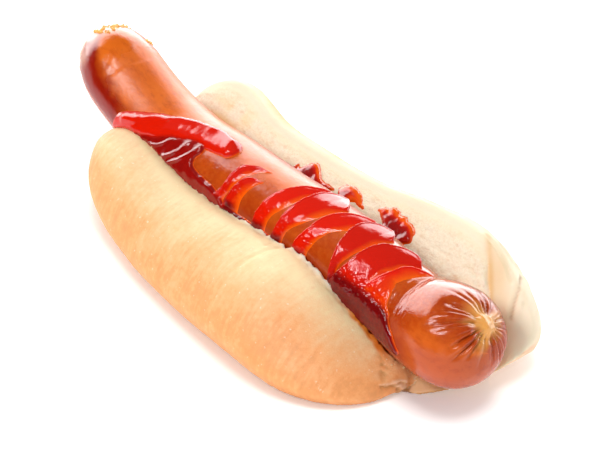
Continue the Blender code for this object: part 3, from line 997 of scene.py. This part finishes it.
def shape_bread(bun):
    """Gives the smooth bun its crust, crumb, folds and torn edges, and the values its
    material reads."""
    points = points_of(bun)
    share = neighbours_smoothed(bun, values_of(bun, "share"), 4)
    standing = values_of(bun, "side") < 0
    opened = ~standing
    x, y, z = points.T / MM
    flat = np.stack([x, y], axis=-1)
    cut = falling(share, 0.93, 1.03)
    past_band = x + (y - BAND_AT[1]) * BAND_SLOPE - BAND_AT[0]
    end_skin = opened * rising(past_band + 0.8 * bumps(points, 0.004, 99), -0.5, 0.5)
    torn_end = standing * rising(x, 56, 61)
    under_tip = opened * rising(x, 58, 64) * falling(y, 4, 12) * falling(z, 6, 9)
    crumb = cut * (1 - end_skin) * rising(z, 0.5, 2) * (1 - torn_end) * (1 - under_tip)
    crust = 1 - crumb

    wrinkles = layered_bumps(points, 0.003, 103, 2, (1.6, 0.45, 0.45))
    grain = CRUST_WRINKLES * wrinkles + CRUST_GRAIN * bumps(points, 0.0013, 105)
    pores = np.maximum(0, bumps(points, 0.0021, 107, (0.6, 1, 1)) - 0.22)
    small_pores = np.maximum(0, bumps(points, 0.0011, 109) - 0.25)
    holes = PORE_DEPTH * pores + SMALL_PORE_DEPTH * small_pores
    holes = holes * (0.45 + 0.75 * falling(z, 17, 24))
    move = CRUST_WAVES * layered_bumps(points, 0.02, 101, 2) + crust * grain
    move = move + crumb * (CRUMB_GRAIN * bumps(points, 0.0016, 111) - holes)

    # The fold across the crown of the standing half, with the crown swelling past it.
    away = from_line(flat, smooth_curve(CROWN_FOLD, 30))
    past = past_line(x, y, CROWN_FOLD)
    fold = CROWN_SWELL * bell(past, 3.2, 2.6) - CROWN_DIP * bell(past, -3, 3)
    fold = fold - CROWN_FOLD_DEPTH * bell(away, 0, 0.9)
    move = move + fold * standing * (z > 14) * between(y, -33, -24, -13.5, -9)

    # The ragged top edge, and the torn near end with its flaps and the crevices past them.
    lip = standing * bell(share, 1, 0.055)
    ragged = np.maximum(bumps(points, 0.0011, 121), -0.3) + 0.5 * bumps(points, 0.0007, 122)
    tear = standing * rising(x, 55, 62) * rising(y, -20, -14)
    flakes = bumps(points, 0.0017, 123, (0.3, 1, 1.4))
    flakes = flakes + 0.5 * bumps(points, 0.0009, 125, (0.35, 1, 1.6))
    tear_spot = bell(x, 62.2, 2.4) * bell(y + 0.45 * (x - 62.2), -14.2, 1.3)
    torn = 0.16 * np.maximum(flakes, -0.25) + 0.45 * np.minimum(flakes, 0.2) * tear_spot
    torn = torn + 0.3 * bumps(points, 0.0045, 126) + 0.06 * bumps(points, 0.0007, 124)
    torn_face = standing * rising(z, 0.4, 1.2) * rising(x, 60, 62)
    flap = np.zeros(len(points))
    crevice = np.zeros(len(points))
    for route in TORN_FLAPS:
        line = smooth_curve(route, 20)
        start, end = line[0, 1], line[-1, 1]
        within = torn_face * between(y, start - 0.3, start + 0.6, end - 0.2, end + 0.4)
        beyond = past_line(x, y, line) + 0.25 * bumps(points, 0.0011, 127)
        flap = np.maximum(flap, within * bell(beyond, -0.1, 0.22))
        crevice = np.maximum(crevice, within * bell(beyond, 0.36, 0.22))
    crevice = crevice * (1 - flap)
    move = move + FLAP_LIFT * flap - CREVICE_DEPTH * crevice + tear * torn

    # The skin that closes the open half's near end: creases, and a crack down to the table.
    skin = opened * (x > 48) * crust
    from_crack = from_line(flat, smooth_curve(CRACK, 20))
    grooves = CRACK_BANK * bell(from_crack, 1.5, 0.9) - CRACK_DEPTH * bell(from_crack, 0, 0.34)
    for route, depth in CREASES:
        from_crease = from_line(flat, smooth_curve(route, 20))
        bank = 0.4 * bell(from_crease, 1, 0.5)
        grooves = grooves + depth * (bank - bell(from_crease, 0, 0.4))
    move = move + skin * grooves - BAND_EDGE_DEPTH * opened * cut * bell(past_band, 0, 0.6)

    points = points + normals_of(bun) * move[:, None] * MM
    points[:, 2] += lip * ragged * LIP_RAGGED_UP * MM
    points[:, 1] += lip * ragged * LIP_RAGGED_OUT * MM
    points = kept_off_sausage(points, BREAD_CLEARANCE)
    points[:, 2] = np.maximum(points[:, 2], 0)
    points[(points[:, 2] < 0.00025) & (z < 0.4), 2] = 0
    set_points(bun, points)

    # Browning, darker towards the foot, is partly the crust's own colour and partly painted
    # shade. It is lightened high up as painted light, browner towards the standing half's near
    # end and on its torn end, and varies at random.
    bake = rising(share, 1.04, 1.56) * np.where(standing, 1, 0.85)
    bake = bake + 0.3 * rising(share, 1.45, 1.85) + 0.16 * layered_bumps(points, 0.018, 131, 2)
    bake = bake - 0.28 * rising(z, 18, 28) + 0.12 * standing * rising(x, 0, 55)
    bake = np.maximum(bake, 0.8 * torn_end)
    band = 0.6 * bell(past_band, 1.2, 1.5) + 0.5 * bell(past_band, 4.5, 5)
    band = band * (0.85 + 0.3 * bumps(points, 0.006, 143)) * opened * (x > 45)
    band = band * falling(share, 1.12, 1.45)
    # Painted shade in the crack, in the crevices past the flaps and in the hollows of the torn
    # end.
    toast = 0.45 * skin * bell(from_crack, 0, 0.4) + 0.8 * crevice
    toast = toast + 0.9 * tear * tear_spot * falling(flakes, -0.3, 0.1)
    # A stain with painted shade on the open half's crumb near the sausage.
    stain = crumb * opened * falling(y, 13.5, 20.5) * rising(x, -56, -40)
    stain = stain * (0.85 + 0.6 * layered_bumps(points, 0.006, 135, 2))
    _, distance = off_axis(points)
    gap = (distance - sausage_radius(points[:, 0])) / MM + 0.7 * bumps(points, 0.0022, 141)
    sauced = standing * (z > 5) * falling(gap, 1.2, 2.4) * between(x, 40, 50, 58, 62.5)
    fringe = standing * bell(share, 0.995, 0.035) * falling(x, 50, 58) * (0.8 + 0.6 * ragged)
    golden = opened * rising(bumps(points, 0.0045, 137), -0.35, 0.45) * bell(x, -48, 13)
    golden = golden * falling(y, 19, 26)
    freckles = 0.5 * stain * rising(bumps(points, 0.0016, 139), 0.2, 0.6)
    # Painted light: the open half's outer crust is paler, fully near its lip and its near end,
    # less so towards its foot.
    light = opened * crust * (1 - 0.45 * rising(share, 1.5, 1.95))
    base = rising(share, 1.94, 2.05) * crust
    base = base * (1 - opened * rising(x, 55, 63) * rising(y, 8, 13))
    paint(
        bun,
        crumb=crumb,
        bake=np.clip(bake, 0, 1) * crust,
        band=np.clip(band, 0, 1) * crust,
        toast=toast,
        stain=stain,
        sauced=sauced,
        # The pale crumb along the lip, and a painted highlight along the edges of the torn
        # flaps.
        fringe=np.maximum(fringe, 0.35 * flap),
        golden=np.maximum(golden, freckles),
        light=light * np.maximum(falling(share, 1.1, 1.35), rising(x, 30, 58)),
        base=np.maximum(base, under_tip),
    )


# --- Materials ---

# The Mix node's sockets for colours, which share their names with others.
MIX_UNDER = 6
MIX_OVER = 7
MIX_RESULT = 2


class Nodes:
    """The nodes of a material or a world."""

    def __init__(self, owner):
        owner.use_nodes = True
        self.nodes = owner.node_tree.nodes
        self.links = owner.node_tree.links

    def feed(self, socket, given):
        """Gives an input a value or a colour, or joins another node's output to it."""
        if isinstance(given, bpy.types.NodeSocket):
            self.links.new(given, socket)
        elif socket.type == "RGBA":
            socket.default_value = (*given, 1)
        else:
            socket.default_value = given

    def add(self, kind, output, inputs=None, **settings):
        node = self.nodes.new("ShaderNode" + kind)
        for name, setting in settings.items():
            setattr(node, name, setting)
        for name, given in (inputs or {}).items():
            self.feed(node.inputs[name], given)
        return node.outputs[output]

    def ramp(self, value, low, high, out_low=0, out_high=1):
        names = ("Value", "From Min", "From Max", "To Min", "To Max")
        inputs = dict(zip(names, (value, low, high, out_low, out_high)))
        return self.add("MapRange", "Result", inputs)

    def math(self, operation, *given):
        return self.add("Math", "Value", dict(enumerate(given)), operation=operation)


class Material(Nodes):
    def __init__(self, name):
        self.material = bpy.data.materials.new(name)
        super().__init__(self.material)
        self.shader = self.nodes["Principled BSDF"]

    def set(self, **inputs):
        """Sets or joins the shader's inputs."""
        for name, given in inputs.items():
            self.feed(self.shader.inputs[name.replace("_", " ")], given)

    def value(self, name):
        return self.add("Attribute", "Fac", attribute_name=name)

    def noise(self, size, detail=3, roughness=0.6, stretch=(1, 1, 1)):
        scale = [part / size for part in stretch]
        place = self.add("TexCoord", "Object")
        place = self.add("Mapping", "Vector", {"Vector": place, "Scale": scale})
        inputs = {"Vector": place, "Scale": 1, "Detail": detail, "Roughness": roughness}
        return self.add("TexNoise", "Fac", inputs)

    def layered(self, shade, *layers):
        """A colour with others mixed over it in turn, each given as (share, colour), where the
        share is an output or the name of a painted value."""
        for share, colour in layers:
            share = self.value(share) if isinstance(share, str) else share
            inputs = {"Factor": share, MIX_UNDER: shade, MIX_OVER: colour}
            shade = self.add("Mix", MIX_RESULT, inputs, data_type="RGBA")
        return shade

    def bump(self, height, distance, before=None):
        inputs = {"Height": height, "Distance": distance, "Strength": 1}
        if before is not None:
            inputs["Normal"] = before
        normal = self.add("Bump", "Normal", inputs)
        self.set(Normal=normal)
        return normal


CREAM = (0.91, 0.7, 0.4)
GOLD = (0.85, 0.35, 0.115)
BROWN = (0.66, 0.27, 0.08)
FLOUR = (0.96, 0.88, 0.7)
CRUMB_PALE = (0.93, 0.84, 0.64)
CRUMB_SHADE = (0.76, 0.54, 0.3)
SAUSAGE_DEEP = (0.35, 0.03, 0.002)
SAUSAGE_RED = (0.47, 0.056, 0.004)
SAUCE_THIN = (0.86, 0.12, 0.003)
SAUCE_THICK = (0.8, 0.012, 0.0006)
SAUCE_DARK = (0.13, 0.002, 0.003)
DRIED_CASING = ((0.9, 0.5, 0.1), (0.86, 0.34, 0.05))
BREAD_CRUMB = ((0.85, 0.62, 0.36), (0.7, 0.42, 0.18))


def bread_material():
    made = Material("bun_crust")
    crumb, bake = made.value("crumb"), made.value("bake")
    speckle = made.noise(0.0016, 4, 0.65)
    blotch = made.noise(0.009, 4)
    streak = made.noise(0.003, stretch=(2.2, 0.35, 0.35))
    for mottle, swing in ((blotch, 0.1), (streak, 0.11), (speckle, 0.11)):
        bake = made.math("ADD", bake, made.ramp(mottle, 0.3, 0.7, -swing, swing))
    flour = made.noise(0.0011, 2, 0.5)
    crust = made.layered(
        CREAM,
        (made.ramp(bake, 0, 1), GOLD),
        (made.ramp(bake, 0.95, 1.35), BROWN),
        (made.ramp(flour, 0.68, 0.75, 0, 0.4), FLOUR),
        # Painted light on the open half's outer crust.
        (made.math("MULTIPLY", made.value("light"), 0.85), (0.91, 0.81, 0.62)),
        ("band", (0.7, 0.42, 0.14)),
        ("fringe", (0.96, 0.88, 0.72)),
        ("base", (0.6, 0.3, 0.11)),
        ("toast", (0.52, 0.24, 0.07)),
    )
    fine = made.noise(0.0008, 4, 0.7)
    holes = made.noise(0.0022, stretch=(0.6, 1, 1))
    stain = made.math("MULTIPLY", made.value("stain"), made.ramp(fine, 0.3, 0.7, 1, 0.4))
    inside = made.layered(
        CRUMB_PALE,
        (made.ramp(fine, 0.25, 0.6, 0.5, 0), CRUMB_SHADE),
        # Painted shade in the pores.
        (made.ramp(holes, 0.42, 0.3, 0, 0.55), CRUMB_SHADE),
        (stain, (0.58, 0.36, 0.18)),
        (made.math("MULTIPLY", made.value("golden"), 0.8), (0.95, 0.64, 0.22)),
    )
    bread = made.layered(crust, (crumb, inside), ("sauced", (0.8, 0.21, 0.008)))
    grain = made.bump(made.noise(0.0005, 4, 0.7), 0.0001)
    made.bump(made.math("MULTIPLY", fine, crumb), 0.00045, grain)
    made.set(Base_Color=bread, Roughness=made.ramp(blotch, 0.3, 0.7, 0.52, 0.68))
    made.set(Subsurface_Weight=0.15, Subsurface_Radius=(0.004, 0.002, 0.001), Subsurface_Scale=1)
    return made.material


def sausage_material():
    made = Material("sausage_skin")
    broad = made.noise(0.014, roughness=0.55)
    fine = made.noise(0.0016, 4)
    mottle = made.noise(0.0022, 5, 0.7, (0.4, 1, 1))
    pale = made.value("pale")
    shade = made.layered(
        SAUSAGE_DEEP,
        (made.ramp(broad, 0.35, 0.65), SAUSAGE_RED),
        ("warm", (0.68, 0.13, 0.006)),
        ("bulb", (0.78, 0.16, 0.02)),
        (made.ramp(fine, 0.35, 0.75, 0, 0.22), (0.8, 0.19, 0.02)),
        (made.ramp(mottle, 0.5, 0.68, 0, 0.45), (0.38, 0.045, 0.004)),
        ("deep", (0.26, 0.008, 0.001)),
        (pale, (0.85, 0.52, 0.37)),
        ("tan", (0.78, 0.36, 0.09)),
    )
    rough = made.ramp(fine, 0.3, 0.7, 0.08, 0.16)
    rough = made.math("ADD", rough, made.math("MULTIPLY", made.value("matte"), 0.28))
    rough = made.math("ADD", rough, made.math("MULTIPLY", pale, 0.3))
    wrinkle = made.bump(made.noise(0.003, 4, 0.65, (0.5, 1, 1)), 0.0001)
    made.bump(made.noise(0.0009), 0.00005, wrinkle)
    made.set(Base_Color=shade, Roughness=rough, IOR=1.4, Subsurface_Weight=0.08)
    made.set(Subsurface_Radius=(0.003, 0.0006, 0.0002), Subsurface_Scale=1)
    return made.material


def sauce_material():
    made = Material("ketchup_sauce")
    fine = made.noise(0.0012)
    thick = made.value("thick")
    body = made.layered(
        SAUCE_THIN,
        (made.ramp(thick, 0.02, 0.3), SAUCE_THICK),
        # Painted shade on the pools by the bread, the low folds and the rope, and the deeper red
        # of the smears' thick middles.
        (made.math("MULTIPLY", made.value("dark"), made.ramp(thick, 0.04, 0.28)), SAUCE_DARK),
        (made.ramp(fine, 0.35, 0.75, 0, 0.15), (0.6, 0.01, 0.002)),
    )
    made.bump(fine, 0.00005)
    made.set(Base_Color=body, Roughness=made.ramp(fine, 0.3, 0.7, 0.03, 0.09), IOR=1.45)
    return made.material


def speckled_material(name, size, first, second, roughness):
    """A material with specks about `size` across, of two colours and roughnesses."""
    made = Material(name)
    fine = made.noise(size)
    made.bump(fine, 0.0001)
    made.set(Base_Color=made.layered(first, (made.ramp(fine, 0.3, 0.7), second)))
    made.set(Roughness=made.ramp(fine, 0.3, 0.7, *roughness))
    return made.material


# --- Stage ---

CAMERA_AZIMUTH = 50.0
CAMERA_ELEVATION = 35.0
CAMERA_DISTANCE = 0.535
CAMERA_LENS = 111.9
CAMERA_TARGET = Vector((0.0125, 0.0011, 0.02))
BACK_HEADING = (-0.643, 0.766, 0)
BACK_SPREAD = 0.17
BACK_GLOW = 0.95
GLOSS_BOOST = 7.8
FRONT_GLOW = 0.02
SOFT_FILL = 0.5
BACKDROP_TOP = 0.72
BACKDROP_EDGE = 0.05
FLOOR_HALF = 3.0
FLOOR_GLOW = 0.24
FLAG_HEADING = math.radians(250.0)
FLAG_DISTANCE = 0.14
FLAG_REACH = (-0.11, 0.17)
FLAG_HEIGHT = 0.12
KEY_DIRECTION = (2, 48)
OVERHEAD_DIRECTION = (90, 84)
LIGHT_DISTANCE = 0.8


def make_floor():
    signs = ((-1, -1), (1, -1), (1, 1), (-1, 1))
    corners = [(FLOOR_HALF * a, FLOOR_HALF * b, 0.0) for a, b in signs]
    floor = mesh_object("floor", corners, [(0, 1, 2, 3)])
    made = Material("floor_white")
    made.set(Base_Color=(0.93, 0.93, 0.93), Roughness=0.7, Specular_IOR_Level=0.1)
    made.set(Emission_Color=(1, 1, 1), Emission_Strength=FLOOR_GLOW)
    floor.data.materials.append(made.material)
    return floor


def aim(item, azimuth, elevation, distance, target=Vector((0.0, 0.0, 0.0))):
    """Puts a camera or a light that way and that far from the target, looking at it."""
    a, e = math.radians(azimuth), math.radians(elevation)
    back = Vector((math.sin(a) * math.cos(e), -math.cos(a) * math.cos(e), math.sin(e)))
    item.location = target + distance * back
    item.rotation_euler = back.to_track_quat("Z", "Y").to_euler()
    bpy.context.scene.collection.objects.link(item)


def make_camera():
    data = bpy.data.cameras.new("camera")
    data.lens = CAMERA_LENS
    data.sensor_width = 36
    camera = bpy.data.objects.new("camera", data)
    aim(camera, CAMERA_AZIMUTH, CAMERA_ELEVATION, CAMERA_DISTANCE, CAMERA_TARGET)
    bpy.context.scene.camera = camera


def make_area_light(name, direction, size, power, lights_matt):
    data = bpy.data.lights.new(name, "AREA")
    data.shape = "RECTANGLE"
    data.size = size
    data.size_y = size
    data.energy = power
    light = bpy.data.objects.new(name, data)
    light.visible_diffuse = lights_matt
    light.visible_glossy = not lights_matt
    aim(light, *direction, LIGHT_DISTANCE)
    return light


def link_to_floor(light, floor, state):
    """Makes the light reach only the floor (INCLUDE), or everything but the floor (EXCLUDE)."""
    reached = bpy.data.collections.new(light.name + "_reaches")
    reached.objects.link(floor)
    reached.collection_objects[0].light_linking.link_state = state
    light.light_linking.receiver_collection = reached


def make_flag():
    """A black card standing to the left of the camera's view, which only shiny surfaces see."""
    toward = Vector((math.cos(FLAG_HEADING), math.sin(FLAG_HEADING), 0.0))
    across = Vector((-toward.y, toward.x, 0.0))
    low, high = (FLAG_DISTANCE * toward + reach * across for reach in FLAG_REACH)
    up = Vector((0.0, 0.0, FLAG_HEIGHT))
    flag = mesh_object("black_flag", [low, high, high + up, low + up], [(0, 1, 2, 3)])
    made = Material("flag_black")
    made.set(Base_Color=(0.01, 0.01, 0.01), Roughness=0.9, Specular_IOR_Level=0)
    flag.data.materials.append(made.material)
    for rays in ("camera", "diffuse", "shadow", "transmission"):
        setattr(flag, "visible_" + rays, False)


def make_world():
    """A bright white backdrop behind and above the object, and a dim room in front of it."""
    world = bpy.data.worlds.new("studio")
    bpy.context.scene.world = world
    made = Nodes(world)
    heading = made.add("TexCoord", "Generated")
    inputs = {0: heading, 1: BACK_HEADING}
    toward = made.add("VectorMath", "Value", inputs, operation="DOT_PRODUCT")
    edges = (BACK_SPREAD - BACKDROP_EDGE, BACK_SPREAD + BACKDROP_EDGE)
    glow = made.ramp(toward, *edges, 0, BACK_GLOW)
    height = made.add("SeparateXYZ", "Z", {"Vector": heading})
    below_top = made.ramp(height, BACKDROP_TOP + BACKDROP_EDGE, BACKDROP_TOP - BACKDROP_EDGE)
    strength = made.math("MULTIPLY_ADD", glow, below_top, FRONT_GLOW)
    # Shiny surfaces mirror the backdrop more brightly than it lights the room.
    mirrored = made.add("LightPath", "Is Glossy Ray")
    boost = made.math("MULTIPLY_ADD", mirrored, GLOSS_BOOST, 1)
    shown = made.math("MULTIPLY", strength, boost)
    # The room's soft fill lights matt surfaces from all sides, and isn't mirrored.
    fill = made.math("MULTIPLY_ADD", mirrored, -SOFT_FILL, SOFT_FILL)
    background = made.nodes["Background"]
    made.feed(background.inputs["Color"], (1, 1, 1))
    made.feed(background.inputs["Strength"], made.math("ADD", shown, fill))


def make_stage():
    floor = make_floor()
    make_flag()
    make_camera()
    make_world()
    key = make_area_light("key_softbox", KEY_DIRECTION, 0.24, 3.6, True)
    overhead = make_area_light("floor_softbox", OVERHEAD_DIRECTION, 0.4, 4.8, True)
    link_to_floor(key, floor, "EXCLUDE")
    link_to_floor(overhead, floor, "INCLUDE")
    make_area_light("key_mirrored", KEY_DIRECTION, 0.28, 8.8, False)
    bpy.context.scene.view_settings.view_transform = "Standard"


# --- Build ---

def finish_piece(piece, material, node=None):
    piece.data.materials.append(material)
    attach(piece, "root")
    if node:
        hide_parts(node)


def main():
    make_stage()
    bread = bread_material()
    sauce = sauce_material()
    bits = speckled_material("dried_casing", 0.0008, *DRIED_CASING, (0.4, 0.6))
    crumbs = speckled_material("bread_crumb", 0.0006, *BREAD_CRUMB, (0.6, 0.8))
    finish_piece(make_sausage(), sausage_material(), "sausage")
    bun = make_bun()
    shape_bread(bun)
    finish_piece(bun, bread, "bun")
    finish_piece(make_sauce(bun), sauce, "ketchup")
    for smear in make_smears(bun):
        finish_piece(smear, sauce)
    finish_piece(make_far_bits(), bits)
    finish_piece(make_crumbs(bun), crumbs)


main()
